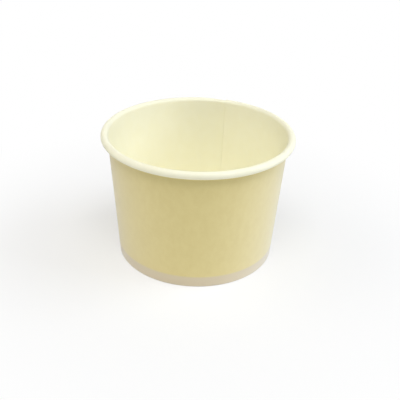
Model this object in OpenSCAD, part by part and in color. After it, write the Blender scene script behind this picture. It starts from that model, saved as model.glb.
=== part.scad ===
/* [Container] */
// Diameter over the rolled rim
rim_d = 90; // [86:0.5:110]
// Height from the table to the top of the rim
cup_h = 61.5; // [45:0.5:90]
// Diameter over the foot
foot_d = 75; // [66:0.5:80]

/* [Board] */
// Thickness of the side wall's board
wall_t = 0.4; // [0.3:0.05:0.5]
// Thickness of the bottom's board
bottom_t = 0.35; // [0.25:0.05:0.5]

/* [Rolled rim] */
// Diameter of the roll's section
bead_d = 3.5; // [3:0.1:5]
// Play between the turns of the roll
turn_gap = 0.15; // [0.05:0.05:0.25]
// Angle by which the board's edge runs on inside the first turn
tuck_angle = 120; // [30:5:170]

/* [Side seam] */
// Place of the inner ply's edge, as an angle round the container
seam_angle = 71.5; // [0:0.5:359]
// Width of the glued lap
lap_w = 8; // [5:0.5:12]
// Width over which the outer ply climbs onto the inner one
climb_w = 12; // [8:0.5:20]
// Depth by which the two glued plies are pressed into each other
lap_press = 0.03; // [0.02:0.01:0.08]

/* [Base] */
// Height of the bottom's underside above the table
recess_h = 6; // [4.5:0.25:9]
// Inner radius of the bend between the bottom and its skirt
bend_r = 0.8; // [0.4:0.1:1.2]
// Glue line on each side of the bottom's skirt
glue_t = 0.02; // [0.01:0.01:0.05]
// Distance from the folded ply's edge up to the bottom's bend
fold_gap = 0.5; // [0.3:0.1:1.5]
// Depth by which the fold is pressed flat where it stands
foot_press = 0.04; // [0.02:0.01:0.08]

/* [Hidden] */
board_colour = "#E6DDBD";
bottom_colour = "#EDE6CB";
// Facets of a full turn round the container, of a small arc in a section, and of a wedge
turn_fn = 144;
arc_fn = 48;
bend_steps = 12;
wedge_steps = 4;

// The fold at the foot wraps the skirt, its glue lines and nothing else
fold_r = bottom_t / 2 + glue_t + wall_t;
fold_at = [foot_d / 2 - fold_r, fold_r - foot_press];

// The roll starts on the wall's inner face and its second half turns closer by half a pitch
bead_r = bead_d / 2;
turn_step = (wall_t + turn_gap) / 2;
bead_at = [rim_d / 2 - bead_r, cup_h - bead_r];

// The wall is the common tangent of the fold and of the roll
span = bead_at - fold_at;
roll_x = bead_r - wall_t + fold_r;
taper = atan2(span[0], span[1]) - asin(roll_x / norm(span));
wall_len = sqrt(pow(norm(span), 2) - pow(roll_x, 2));

// The bottom's bend, from the skirt's slant round to the level disc
bend_x = -bottom_t / 2 - bend_r;
bend_y = (recess_h - bend_r - fold_at[1] + sin(taper) * bend_x) / cos(taper);

// The folded ply ends just short of that bend
hem_len = bend_y - fold_gap;

// The seam as angles at the wall's middle height, and how far the outer ply is pushed out
lap_a = lap_w / ((rim_d + foot_d) / 4) * 180 / PI;
climb_a = climb_w / ((rim_d + foot_d) / 4) * 180 / PI;
lap_shift = wall_t - lap_press;

// The climbing ply is round about its own axis, and leaves the wall's round at the climb's start
climb_at = lap_shift / sin(climb_a) * [sin(climb_a), -cos(climb_a)];

// How far in from the wall's outer face the cuts beside the seam reach
cut_in = 4 * wall_t;

// The outer ply ends in the slit beside the roll, with the play between turns round it
roll_low_r = bead_r - turn_step;
slit_x = roll_x + turn_step - fold_r - lap_shift - turn_gap;
lap_len = wall_len - sqrt(pow(roll_low_r, 2) - pow(slit_x, 2));

// Points of an arc of radius r round a centre
function arc(centre, r, from, to) = [for (i = [0:bend_steps])
    centre + r * [cos(from + (to - from) * i / bend_steps), sin(from + (to - from) * i / bend_steps)]];

// A point of the wall's upright frame as it stands in the container
function placed(p) = fold_at + [cos(taper) * p[0] + sin(taper) * p[1],
                                cos(taper) * p[1] - sin(taper) * p[0]];

// A wedge that covers a circle of radius r between two angles
module wedge(r, from, to) {
    polygon(concat([[0, 0]], [for (i = [0:wedge_steps])
        2 * r * [cos(from + (to - from) * i / wedge_steps), sin(from + (to - from) * i / wedge_steps)]]));
}

// A bent ply of thickness t, with its outer radius r, between two angles
module bent_ply(r, t, from, to) {
    intersection() {
        difference() {
            circle(r, $fn = arc_fn);
            circle(r - t, $fn = arc_fn);
        }
        wedge(r, from, to);
    }
}

// Sections are drawn with the wall upright and the fold's centre at the origin, then tilted into
// place and cut off flat at the table
module on_wall() {
    intersection() {
        translate(fold_at)
            rotate(-taper)
                children();
        square([rim_d, cup_h]);
    }
}

// The rolled rim: over the top, back under to the wall, and on inside the first turn
module roll() {
    translate([roll_x, wall_len]) {
        bent_ply(bead_r, wall_t, 0, 180);
        translate([turn_step, 0])
            bent_ply(roll_low_r, wall_t, 180, 360);
        bent_ply(bead_r - 2 * turn_step, wall_t, 180 - tuck_angle, 180);
    }
}

// The board's section, from the rolled edge down the wall and round the fold to the other edge
module wall_section() {
    on_wall() {
        roll();
        translate([fold_r - wall_t, 0])
            square([wall_t, wall_len]);
        bent_ply(fold_r, wall_t, 180, 360);
        translate([-fold_r, 0])
            square([wall_t, hem_len]);
    }
}

// A band along the wall, between two distances out from its outer face, up to a length
module band(inner, outer, len) {
    on_wall()
        translate([fold_r + inner, -fold_r])
            square([outer - inner, fold_r + len]);
}

// The outer ply's section, from its round end on the table up into the slit beside the roll
module ply_section() {
    on_wall() {
        bent_ply(fold_r, wall_t, 270, 360);
        translate([fold_r - wall_t, 0])
            square([wall_t, lap_len]);
    }
}

// The stretch of the climb, cut from a ring that is round about the climbing ply's own axis
module climb_of() {
    intersection() {
        linear_extrude(cup_h)
            wedge(rim_d / 2, 0, climb_a);
        translate(climb_at)
            rotate_extrude($fn = turn_fn)
                children();
    }
}

// The second ply at the seam: level over the lap, then down the climb into the wall
module outer_ply() {
    difference() {
        union() {
            rotate_extrude(angle = lap_a, start = -lap_a, $fn = turn_fn)
                translate([lap_shift, 0])
                    ply_section();
            climb_of()
                ply_section();
        }
        rotate_extrude($fn = turn_fn)
            band(-cut_in, -wall_t / 2, wall_len);
    }
}

// The hollow that the climbing ply leaves beside the inner ply's edge, above the bottom
module climb_hollow() {
    difference() {
        climb_of()
            band(-cut_in, -wall_t, wall_len - bead_r);
        cylinder(h = recess_h + bottom_t, d = rim_d, $fn = turn_fn);
    }
}

// One board blank wound into a cone, lapped and glued, rolled out at the top, folded in below
module side_wall() {
    color(board_colour)
        rotate(seam_angle)
            difference() {
                union() {
                    rotate_extrude($fn = turn_fn)
                        wall_section();
                    outer_ply();
                }
                climb_hollow();
            }
}

// Outline of the bottom: up the skirt's outer face, over the bend and back along its underside
module bottom_section() {
    bend_at = placed([bend_x, bend_y]);
    polygon(concat(
        [placed([-bottom_t / 2, 0]), placed([bottom_t / 2, 0])],
        arc(bend_at, bend_r + bottom_t, -taper, 90),
        [[0, recess_h + bottom_t], [0, recess_h]],
        arc(bend_at, bend_r, 90, -taper)));
}

// A drawn disc with a downward skirt, held in the wall's folded foot
module bottom_disc() {
    color(bottom_colour)
        rotate_extrude($fn = turn_fn)
            bottom_section();
}

side_wall();
bottom_disc();
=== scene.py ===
import math

import bpy
from mathutils import Matrix, Vector


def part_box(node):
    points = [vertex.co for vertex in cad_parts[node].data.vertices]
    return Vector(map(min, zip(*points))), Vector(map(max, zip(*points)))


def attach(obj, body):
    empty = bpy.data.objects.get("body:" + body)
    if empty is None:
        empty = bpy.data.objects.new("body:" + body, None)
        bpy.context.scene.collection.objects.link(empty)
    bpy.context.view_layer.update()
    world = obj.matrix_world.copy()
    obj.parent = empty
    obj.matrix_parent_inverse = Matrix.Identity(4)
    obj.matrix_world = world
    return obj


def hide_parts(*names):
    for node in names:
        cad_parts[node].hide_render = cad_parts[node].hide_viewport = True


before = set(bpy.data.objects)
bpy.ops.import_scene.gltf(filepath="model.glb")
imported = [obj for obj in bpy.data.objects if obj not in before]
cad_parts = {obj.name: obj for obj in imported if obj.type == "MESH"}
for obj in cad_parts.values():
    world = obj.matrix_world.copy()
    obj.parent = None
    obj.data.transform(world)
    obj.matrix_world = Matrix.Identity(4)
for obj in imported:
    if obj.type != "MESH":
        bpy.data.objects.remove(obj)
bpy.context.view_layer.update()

# Camera: it looks down at the container at the photograph's angle. Its place was worked out from
# the outlines of the rim, the wall and the foot, and is given in radii of the rim.
rim_r = 0.045
camera_rise = math.radians(28.13)
camera_roll = math.radians(1.80)
camera_reach = 7.5 * rim_r
camera_about = Vector((0, 0, 0.65 * rim_r))
camera_aim = Vector((0.0383 * rim_r, 0, 0.5511 * rim_r))
focal_px = 696.35
frame_px = 400
sensor_mm = 36

camera_data = bpy.data.cameras.new("camera")
camera_data.sensor_width = sensor_mm
camera_data.lens = focal_px / frame_px * sensor_mm
camera = bpy.data.objects.new("camera", camera_data)
bpy.context.scene.collection.objects.link(camera)
away = Vector((0, -math.cos(camera_rise), math.sin(camera_rise)))
camera_spot = camera_about + camera_reach * away
turn = (camera_aim - camera_spot).to_track_quat("-Z", "Y").to_matrix().to_4x4()
roll = Matrix.Rotation(camera_roll, 4, "Z")
camera.matrix_world = Matrix.Translation(camera_spot) @ turn @ roll
bpy.context.scene.camera = camera
bpy.context.scene.view_settings.view_transform = "Standard"

# Floor: a plain studio table with a matt white laminate top, which keeps the container's soft
# shadow. Further out it fades, for the camera alone, into the white of the surround.
floor_size = 6.0
floor_drop = 0.00002
floor_colour = "#F4F4F3"
floor_roughness = 0.9
floor_shine = 0.1
fade_start = 0.5
fade_from = 0.045
fade_to = 0.16


def linear(colour):
    """The linear values of an sRGB hex colour, with alpha."""
    values = [int(colour[i:i + 2], 16) / 255 for i in (1, 3, 5)]
    return [v / 12.92 if v <= 0.04045 else ((v + 0.055) / 1.055) ** 2.4 for v in values] + [1]


def add(tree, kind, settings, *values, **named):
    """A new node with its settings. Its inputs in use take the values in order, or by their names.

    A value is a constant, another node's socket, or another node, which gives its first output.
    """
    node = tree.nodes.new(kind)
    for key, setting in settings.items():
        setattr(node, key, setting)
    inputs = [socket for socket in node.inputs if socket.enabled]
    pairs = list(zip(inputs, values))
    for key, value in named.items():
        pairs.append((next(s for s in inputs if s.name == key.replace("_", " ")), value))
    for socket, value in pairs:
        if isinstance(value, bpy.types.Node):
            value = next(output for output in value.outputs if output.enabled)
        if isinstance(value, bpy.types.NodeSocket):
            tree.links.new(value, socket)
        else:
            socket.default_value = value
    return node


bpy.ops.mesh.primitive_plane_add(size=floor_size, location=(0, 0, -floor_drop))
floor = bpy.context.object
floor.name = "studio_floor"

# Matt white laminate: no gloss, so that the table shows the eye nothing but the soft shadow
laminate = bpy.data.materials.new("matt_white_table")
laminate.use_nodes = True
table = laminate.node_tree
paint = table.nodes["Principled BSDF"]
paint.inputs["Base Color"].default_value = linear(floor_colour)
paint.inputs["Roughness"].default_value = floor_roughness
paint.inputs["Specular IOR Level"].default_value = floor_shine
spot = add(table, "ShaderNodeTexCoord", {}).outputs["Object"]
apart = add(table, "ShaderNodeVectorMath", {"operation": "LENGTH"}, spot)
fade = add(table, "ShaderNodeMapRange", {"interpolation_type": "SMOOTHSTEP"}, Value=apart,
           From_Min=fade_from, From_Max=fade_to, To_Min=fade_start)
rays = add(table, "ShaderNodeLightPath", {}).outputs
fade = add(table, "ShaderNodeMath", {"operation": "MULTIPLY"}, fade, rays["Is Camera Ray"])
white = add(table, "ShaderNodeEmission", {}, Color=linear("#FFFFFF"), Strength=1.0)
mixed = add(table, "ShaderNodeMixShader", {}, fade, paint, white)
table.links.new(mixed.outputs["Shader"], table.nodes["Material Output"].inputs["Surface"])
floor.data.materials.append(laminate)

# Surround: a plain white studio. The camera and the reflections see it as white, and it lights
# the container only a little.
surround_light = 0.10

world = bpy.data.worlds.new("white_studio")
world.use_nodes = True
bpy.context.scene.world = world
sky = world.node_tree
sky.nodes.clear()
rays = add(sky, "ShaderNodeLightPath", {}).outputs
seen = add(sky, "ShaderNodeMath", {"operation": "MAXIMUM"}, rays["Is Camera Ray"],
           rays["Is Glossy Ray"])
level = add(sky, "ShaderNodeMix", {"data_type": "FLOAT"}, Factor=seen, A=surround_light, B=1.0)
glow = add(sky, "ShaderNodeBackground", {}, Color=linear("#FFFFFF"), Strength=level)
add(sky, "ShaderNodeOutputWorld", {}, Surface=glow)

# Lamps: three large soft boxes. One stands high in front and reaches down into the container, one
# on the right is a little cooler, as a window is, and a weaker, warmer one fills the left side.
box_size = 0.8
box_aim = Vector((0, 0, 0.03))


def soft_box(name, spot, power, colour):
    """A square soft box at spot, turned to the container."""
    lamp = bpy.data.lights.new(name, "AREA")
    lamp.shape = "SQUARE"
    lamp.size = box_size
    lamp.energy = power
    lamp.color = linear(colour)[:3]
    box = bpy.data.objects.new(name, lamp)
    bpy.context.scene.collection.objects.link(box)
    facing = (box_aim - Vector(spot)).to_track_quat("-Z", "Y").to_matrix().to_4x4()
    box.matrix_world = Matrix.Translation(spot) @ facing


soft_box("front_box", (0.0, -0.52, 1.11), 8.7, "#FFFFFF")
soft_box("right_box", (0.98, 0.0, 0.72), 8.5, "#ECF3FF")
soft_box("left_box", (-0.98, 0.0, 0.72), 3.6, "#FFFAEE")

# Side wall: one blank of bleached board, coated inside, wound into a cone and glued along a lap.
# Its top edge is rolled outward into the rim, and its lower edge is folded in and up round the
# bottom's skirt and pressed with a knurled wheel.
MM = 0.001
low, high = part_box("side_wall")
cup_h = (high[2] - low[2]) / MM
rim_d = 90.0
foot_d = 75.0
wall_t = 0.4
bottom_t = 0.35
bead_r = 1.75
turn_gap = 0.15
tuck_angle = 120
glue_t = 0.02
recess_h = 6.0
bend_r = 0.8
fold_gap = 0.5
foot_press = 0.04
seam_angle = math.radians(71.5)
lap_w = 8.0
climb_w = 12.0
mean_r = (rim_d + foot_d) / 4
lap_a = lap_w / mean_r
climb_a = climb_w / mean_r

# The roll and the foot stay this much inside the CAD solid
rim_play = 0.03
foot_play = 0.01

# How far the outer ply stands off over the lap, and how little in the fold, where it is pressed
# on. It comes out between the two heights above the fold.
ply_step = 0.41
hem_step = 0.06
step_low = 0.5
step_high = 4.0

# Teeth that the wheel presses into the folded ply, and the height over which they run out
knurls = 120
knurl_depth = 0.12
knurl_low = 0.6
knurl_run = 0.8

# The board swells softly by a few hundredths of a millimetre, about every 38 mm, but not where
# it is held, and less in the roll
swells_per_m = 26.0
wall_swell = 0.16
swell_run = 8.0
roll_swell = 0.5

# Painted shade: the foot band, where three layers of board let less light through, is greyer, and
# this ends softly just above the bottom's bend. The lap, where two layers lie, has a part of the
# same painted shade.
band_fade = 0.4
lap_shade = 0.25

# Points round the turn, and along each stretch of the section from the tucked edge to the folded
# one. They lie closer from a height of fine_above over the band down to the fold.
wall_stations = 560
tuck_rows, under_rows, over_rows = 7, 13, 14
upper_rows, lower_rows, fold_rows, hem_rows = 20, 18, 8, 5
fine_above = 3.0

fold_r = bottom_t / 2 + glue_t + wall_t
fold_at = (foot_d / 2 - fold_r, fold_r - foot_press)
bead_at = (rim_d / 2 - bead_r - rim_play, cup_h - bead_r - rim_play)
turn_step = (wall_t + turn_gap) / 2
span = (bead_at[0] - fold_at[0], bead_at[1] - fold_at[1])
roll_x = bead_r - wall_t + fold_r
taper = math.atan2(*span) - math.asin(roll_x / math.hypot(*span))
wall_len = math.sqrt(math.hypot(*span) ** 2 - roll_x ** 2)
bend_x = -bottom_t / 2 - bend_r
bend_y = (recess_h - bend_r - fold_at[1] + math.sin(taper) * bend_x) / math.cos(taper)
hem_len = bend_y - fold_gap


def ease(x, start, end):
    """0 at start and 1 at end, with a smooth run between them."""
    x = min(1, max(0, (x - start) / (end - start)))
    return x * x * (3 - 2 * x)


def arc(x, y, r, start, end, steps, facing):
    """Points of an arc in the wall's upright frame, with the direction of the outer face."""
    rows = []
    for i in range(steps + 1):
        a = math.radians(start + (end - start) * i / steps)
        c, s = math.cos(a), math.sin(a)
        rows.append((x + r * c, y + r * s, facing * c, facing * s))
    return rows


def straight(x, start, end, steps, facing):
    """Points of a straight stretch along the wall, both ends left out."""
    return [(x, start + (end - start) * i / steps, facing, 0) for i in range(1, steps)]


def placed(rows, floor_z):
    """The rows as they stand in the container, tilted by the taper and no lower than floor_z."""
    c, s = math.cos(taper), math.sin(taper)
    return [(fold_at[0] + c * x + s * y, max(floor_z, fold_at[1] + c * y - s * x),
             c * u + s * v, c * v - s * u) for x, y, u, v in rows]


def section_mesh(name, rows, extras):
    """A chain of points in the XZ plane, with the outer face's direction and the extra values."""
    mesh = bpy.data.meshes.new(name)
    mesh.from_pydata([(x * MM, 0, z * MM) for x, z, u, v in rows],
                     [(i, i + 1) for i in range(len(rows) - 1)], [])
    facing = mesh.attributes.new("facing", "FLOAT_VECTOR", "POINT")
    facing.data.foreach_set("vector", [w for x, z, u, v in rows for w in (u, 0, v)])
    for key, values in extras.items():
        mesh.attributes.new(key, "FLOAT", "POINT").data.foreach_set("value", values)
    return mesh


def winding_tree():
    """A node tree that winds a section of board round the Z axis, as a blank round a mandrel.

    Each vertex of a grid takes the point of its row in the section, is lifted off it along the
    outer face, and is turned about Z to its station.
    """
    tree = bpy.data.node_groups.new("wind_board", "GeometryNodeTree")
    for kind, names in (("Geometry", ["Section"]), ("Int", ["Rows", "Stations"]),
                        ("Float", ["Start", "Sweep", "Climb Start", "Climb End", "Ply Step", "Lap",
                                   "Lap Tone", "Ridges", "Swells", "Swell Depth", "Weld"]),
                        ("Material", ["Finish"])):
        for name in names:
            tree.interface.new_socket(name, in_out="INPUT", socket_type="NodeSocket" + kind)
    tree.interface.new_socket("Board", in_out="OUTPUT", socket_type="NodeSocketGeometry")
    given = add(tree, "NodeGroupInput", {}).outputs
    plus, minus, times, larger = [{"operation": kind}
                                  for kind in ("ADD", "SUBTRACT", "MULTIPLY", "MAXIMUM")]

    # The grid is 1 wide each way, with the section's rows along X and the stations along Y
    sheet = add(tree, "GeometryNodeMeshGrid", {}, Size_X=1.0, Size_Y=1.0,
                Vertices_X=given["Rows"], Vertices_Y=given["Stations"])
    spot = add(tree, "GeometryNodeInputPosition", {})
    spot = add(tree, "ShaderNodeSeparateXYZ", {}, spot).outputs
    across = add(tree, "ShaderNodeMath", plus, spot["X"], 0.5)
    last = add(tree, "ShaderNodeMath", minus, given["Rows"], 1.0)
    row = add(tree, "ShaderNodeMath", times, across, last)
    row = add(tree, "ShaderNodeMath", {"operation": "ROUND"}, row)
    along = add(tree, "ShaderNodeMath", plus, spot["Y"], 0.5)
    wound = add(tree, "ShaderNodeMath", times, along, given["Sweep"])
    angle = add(tree, "ShaderNodeMath", minus, given["Start"], wound)

    # What the section carries at that row
    carried = {}
    for name, kind in (("position", "FLOAT_VECTOR"), ("facing", "FLOAT_VECTOR"), ("ply", "FLOAT"),
                       ("ridge", "FLOAT"), ("free", "FLOAT"), ("held", "FLOAT")):
        value = add(tree, "GeometryNodeInputNamedAttribute", {"data_type": kind}, Name=name)
        carried[name] = add(tree, "GeometryNodeSampleIndex", {"data_type": kind, "domain": "POINT"},
                            Geometry=given["Section"], Value=value, Index=row)

    # The outer ply climbs onto the inner one
    climb = add(tree, "ShaderNodeMapRange", {"interpolation_type": "SMOOTHSTEP"}, Value=wound,
                From_Min=given["Climb Start"], From_Max=given["Climb End"])
    ply = add(tree, "ShaderNodeMath", times, climb, given["Ply Step"])
    ply = add(tree, "ShaderNodeMath", times, ply, carried["ply"])

    # Knurls or pleats follow each other round the turn
    ridge = add(tree, "ShaderNodeMath", times, wound, given["Ridges"])
    ridge = add(tree, "ShaderNodeMath", {"operation": "COSINE"}, ridge)
    ridge = add(tree, "ShaderNodeMath", times, ridge, -0.5)
    ridge = add(tree, "ShaderNodeMath", plus, ridge, 0.5)
    ridge = add(tree, "ShaderNodeMath", times, ridge, carried["ridge"])

    # The board swells where it is free
    round_z = {"rotation_type": "Z_AXIS"}
    swell = add(tree, "ShaderNodeVectorRotate", round_z, Vector=carried["position"], Angle=angle)
    swell = add(tree, "ShaderNodeTexNoise", {"noise_dimensions": "3D"}, Vector=swell,
                Scale=given["Swells"], Detail=1.0)
    swell = add(tree, "ShaderNodeMath", minus, swell, 0.5)
    swell = add(tree, "ShaderNodeMath", times, swell, given["Swell Depth"])
    swell = add(tree, "ShaderNodeMath", times, swell, carried["free"])

    lift = add(tree, "ShaderNodeMath", plus, ply, ridge)
    lift = add(tree, "ShaderNodeMath", plus, lift, swell)
    lift = add(tree, "ShaderNodeVectorMath", {"operation": "SCALE"}, carried["facing"], lift)
    moved = add(tree, "ShaderNodeVectorMath", plus, carried["position"], lift)
    moved = add(tree, "ShaderNodeVectorRotate", round_z, Vector=moved, Angle=angle)

    # This attribute weighs the painted shade of doubled board: it is 1 where the wall is held in
    # the foot, and less over the lap. It is stored before the vertices move, because it reads the
    # grid's own positions.
    begun = add(tree, "ShaderNodeMath", {"operation": "LESS_THAN"}, wound, given["Lap"])
    ended = add(tree, "ShaderNodeMath", {"operation": "GREATER_THAN"}, wound, given["Climb End"])
    plies = add(tree, "ShaderNodeMath", larger, begun, ended)
    plies = add(tree, "ShaderNodeMath", times, plies, given["Lap Tone"])
    plies = add(tree, "ShaderNodeMath", larger, plies, carried["held"])
    board = add(tree, "GeometryNodeStoreNamedAttribute", {"data_type": "FLOAT", "domain": "POINT"},
                Geometry=sheet, Name="plies", Value=plies)
    board = add(tree, "GeometryNodeSetPosition", {}, Geometry=board, Position=moved)
    board = add(tree, "GeometryNodeMergeByDistance", {}, Geometry=board, Distance=given["Weld"])
    board = add(tree, "GeometryNodeSetShadeSmooth", {}, Geometry=board)
    board = add(tree, "GeometryNodeRealizeInstances", {}, Geometry=board)
    board = add(tree, "GeometryNodeSetMaterial", {}, Geometry=board, Material=given["Finish"])
    add(tree, "NodeGroupOutput", {}, Board=board)
    return tree


def wound_piece(name, section, thickness, finishes, **sizes):
    """The section wound into board, with finishes for its coated face, outer face and cut edges."""
    for finish in (None, *finishes):
        section.materials.append(finish)
    source = bpy.data.objects.new(name + "_source", section)
    bpy.context.scene.collection.objects.link(source)
    winding = source.modifiers.new("winding", "NODES")
    winding.node_group = wind_board
    sockets = {item.name: item.identifier for item in wind_board.interface.items_tree
               if item.in_out == "INPUT"}
    for key, value in sizes.items():
        winding[sockets[key.replace("_", " ")]] = value
    winding[sockets["Rows"]] = len(section.vertices)
    winding[sockets["Finish"]] = finishes[0]
    solid = source.modifiers.new("board", "SOLIDIFY")
    solid.thickness = thickness * MM
    solid.offset = 0
    solid.use_even_offset = True
    solid.material_offset = 1
    solid.material_offset_rim = 2
    bpy.context.view_layer.update()
    seen = source.evaluated_get(bpy.context.evaluated_depsgraph_get())
    mesh = bpy.data.meshes.new_from_object(seen)
    mesh.name = name
    bpy.data.objects.remove(source)

    # Set Material leaves an empty slot in front of its own
    mesh.materials.pop(index=0)
    while len(mesh.materials) < len(finishes):
        mesh.materials.append(None)
    for slot, finish in enumerate(finishes):
        mesh.materials[slot] = finish
    piece = bpy.data.objects.new(name, mesh)
    bpy.context.scene.collection.objects.link(piece)
    return piece


wind_board = winding_tree()

# The fibres lie mostly along the web, which runs up the wall, so every pattern is longer that way.
# A real fibre is about 0.03 mm wide, too fine to show, so the grain is drawn at half a millimetre.
fibre_lie = 0.7
grain_mm = 0.5
grain_depth = 0.03
fuzz_spread = 0.6

# The clouds are the middle part of the noise's range
cloud_low = 0.35
cloud_high = 0.65


def board_finish(name, colour, shaded, ply_shade, roughness, shine, sheen, cloud_mm, cloud, fibre):
    """Paperboard: cloudy between two colours, with fine fibre, and a greyer painted shade where the
    board lies doubled.
    """
    finish = bpy.data.materials.new(name)
    finish.use_nodes = True
    tree = finish.node_tree
    spot = add(tree, "ShaderNodeTexCoord", {}).outputs["Object"]
    spot = add(tree, "ShaderNodeVectorMath", {"operation": "MULTIPLY"}, spot, (1, 1, fibre_lie))
    clouds = add(tree, "ShaderNodeTexNoise", {}, Vector=spot, Scale=1 / (cloud_mm * MM),
                 Detail=3.0, Roughness=0.6)
    clouds = add(tree, "ShaderNodeMapRange", {}, Value=clouds, From_Min=cloud_low,
                 From_Max=cloud_high, To_Max=cloud)
    tone = add(tree, "ShaderNodeMix", {"data_type": "RGBA"}, Factor=clouds, A=linear(colour),
               B=linear(shaded))
    # A greyer painted shade where the board lies doubled and lets less light through
    plies = add(tree, "ShaderNodeAttribute", {"attribute_name": "plies"}).outputs["Fac"]
    tone = add(tree, "ShaderNodeMix", {"data_type": "RGBA"}, Factor=plies, A=tone,
               B=linear(ply_shade))
    grain = add(tree, "ShaderNodeTexNoise", {}, Vector=spot, Scale=1 / (grain_mm * MM),
                Detail=2.0, Roughness=0.6)
    relief = add(tree, "ShaderNodeBump", {}, Strength=fibre, Distance=grain_depth * MM,
                 Height=grain)
    shader = tree.nodes["Principled BSDF"].inputs
    tree.links.new(tone.outputs["Result"], shader["Base Color"])
    tree.links.new(relief.outputs["Normal"], shader["Normal"])
    shader["Roughness"].default_value = roughness
    shader["Specular IOR Level"].default_value = shine
    shader["Sheen Weight"].default_value = sheen
    shader["Sheen Roughness"].default_value = fuzz_spread
    return finish


# Bleached board, calendered but uncoated: a warm matt cream, faintly cloudy every 3 mm or so, with
# # a light bloom towards its outline from fibres that stand up. Where several layers of board let
# # less light through, its colour carries a greyer painted shade.
outer_face = board_finish(
    "bleached_board_outer_face", colour="#E8D78E", shaded="#E2CF83", ply_shade="#DCCCAA",
    roughness=0.6, shine=0.25, sheen=0.8, cloud_mm=3.0, cloud=0.5, fibre=0.5)

# The same board under an extruded polyethylene film: paler and smoother, with the film's soft
# sheen, which runs on over the roll
coated_face = board_finish(
    "polyethylene_coated_inner_face", colour="#FEFBE2", shaded="#FCF8DA", ply_shade="#FDF9E0",
    roughness=0.45, shine=0.2, sheen=0.0, cloud_mm=4.0, cloud=0.4, fibre=0.3)

# The edge that the die cut: bare white fibre, quite matt and a little rough, a fine pale line
cut_edge = board_finish(
    "cut_board_edge", colour="#F7F2E0", shaded="#EEE6CC", ply_shade="#F7F2E0",
    roughness=0.9, shine=0.2, sheen=0.3, cloud_mm=0.6, cloud=0.8, fibre=1.0)

wall_mid = fold_r - wall_t / 2
roll_r = bead_r - wall_t / 2
band_top = bend_y + band_fade
fine_top = band_top + fine_above
rows = arc(roll_x, wall_len, roll_r - 2 * turn_step, 180 - tuck_angle, 180, tuck_rows, -1)
rows += arc(roll_x + turn_step, wall_len, roll_r - turn_step, 180, 360, under_rows, -1)[1:]
rows += arc(roll_x, wall_len, roll_r, 0, 180, over_rows, -1)[1:]
rolled = len(rows)
rows += straight(wall_mid, wall_len, fine_top, upper_rows, 1)
rows += straight(wall_mid, fine_top, 0, lower_rows, 1)
rows += arc(0, 0, wall_mid, 0, -180, fold_rows, 1)
folded = len(rows)
rows += straight(-wall_mid, 0, hem_len, hem_rows, -1)
rows.append((-wall_mid, hem_len, -1, 0))

pressed = hem_step / ply_step
extras = {"ply": [], "ridge": [], "free": [], "held": []}
for i, (x, y, u, v) in enumerate(rows):
    in_hem = i >= folded
    out = 0 if in_hem else ease(y, step_low, step_high)
    extras["ply"].append(pressed + (1 - pressed) * out)
    knurl = (knurl_depth * MM * ease(y, knurl_low, knurl_low + knurl_run)
             * ease(y, hem_len, hem_len - knurl_run))
    extras["ridge"].append(knurl if in_hem else 0)
    swell = ease(y, bend_y, bend_y + swell_run) * (roll_swell if i < rolled else 1)
    extras["free"].append(0 if in_hem else swell)
    # The painted shade of the foot band fades out across the band's top
    above = 0 if in_hem else ease(y, band_top - band_fade, band_top + band_fade)
    extras["held"].append(1 - above)
section = placed(rows, wall_t / 2 + hem_step + foot_play)
side_wall = wound_piece(
    "wound_side_wall", section_mesh("wall_section", section, extras), wall_t,
    (coated_face, outer_face, cut_edge), Stations=wall_stations, Start=seam_angle,
    Sweep=2 * math.pi + lap_a, Climb_Start=2 * math.pi - climb_a, Climb_End=2 * math.pi,
    Ply_Step=ply_step * MM, Lap=lap_a, Lap_Tone=lap_shade, Ridges=float(knurls),
    Swells=swells_per_m, Swell_Depth=wall_swell * MM, Weld=0.0)
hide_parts("side_wall")
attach(side_wall, "root")

# Bottom: one disc of the same board, drawn upside down into a shallow cup, with its coated face
# up. Its skirt is glued between the wall and the folded edge, and drawing it left small pleats
# at the bend.
pleats = 72
pleat_depth = 0.06
bottom_swell = 0.2

# The pleats rise between two heights below the bottom and fade between two distances in from the
# bend, and the disc's swell dies away between two more
pleat_low, pleat_high = 2.2, 0.4
pleat_in, pleat_out = 3.5, 0.5
flat_in, flat_out = 8.0, 1.0

# Rows of the disc lie closer towards the bend, and its many vertices at the middle become one
bottom_stations = 361
skirt_rows, bend_rows, disc_rows = 4, 9, 20
crowding = 1.3
centre_weld = 0.001

# A whole turn with no lap: its climb would start past the end of the turn
no_climb = 10.0

bend_mid = bend_r + bottom_t / 2
rows = [(0, 0, 1, 0)] + straight(0, 0, bend_y, skirt_rows, 1)
rows += arc(bend_x, bend_y, bend_mid, 0, 90 + math.degrees(taper), bend_rows, 1)
section = placed(rows, 0)
edge_r = section[-1][0]
for i in range(1, disc_rows + 1):
    section.append((edge_r * (1 - (i / disc_rows) ** crowding), recess_h + bottom_t / 2, 0, 1))

# The whole bottom is held, so both its faces take the greyer painted shade of doubled board
extras = {"ply": [0.0] * len(section), "ridge": [], "free": [], "held": [1.0] * len(section)}
for x, z, u, v in section:
    pleated = (ease(z, recess_h - pleat_low, recess_h - pleat_high)
               * ease(x, edge_r - pleat_in, edge_r - pleat_out))
    extras["ridge"].append(-pleat_depth * MM * pleated)
    extras["free"].append(1 - ease(x, edge_r - flat_in, edge_r - flat_out))
bottom_disc = wound_piece(
    "drawn_bottom", section_mesh("bottom_section", section, extras), bottom_t,
    (coated_face, outer_face, cut_edge), Stations=bottom_stations, Start=0.0,
    Sweep=2 * math.pi, Climb_Start=no_climb, Climb_End=no_climb + 1, Ply_Step=0.0, Lap=0.0,
    Lap_Tone=0.0, Ridges=float(pleats), Swells=swells_per_m, Swell_Depth=bottom_swell * MM,
    Weld=centre_weld * MM)
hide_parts("bottom_disc")
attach(bottom_disc, "root")
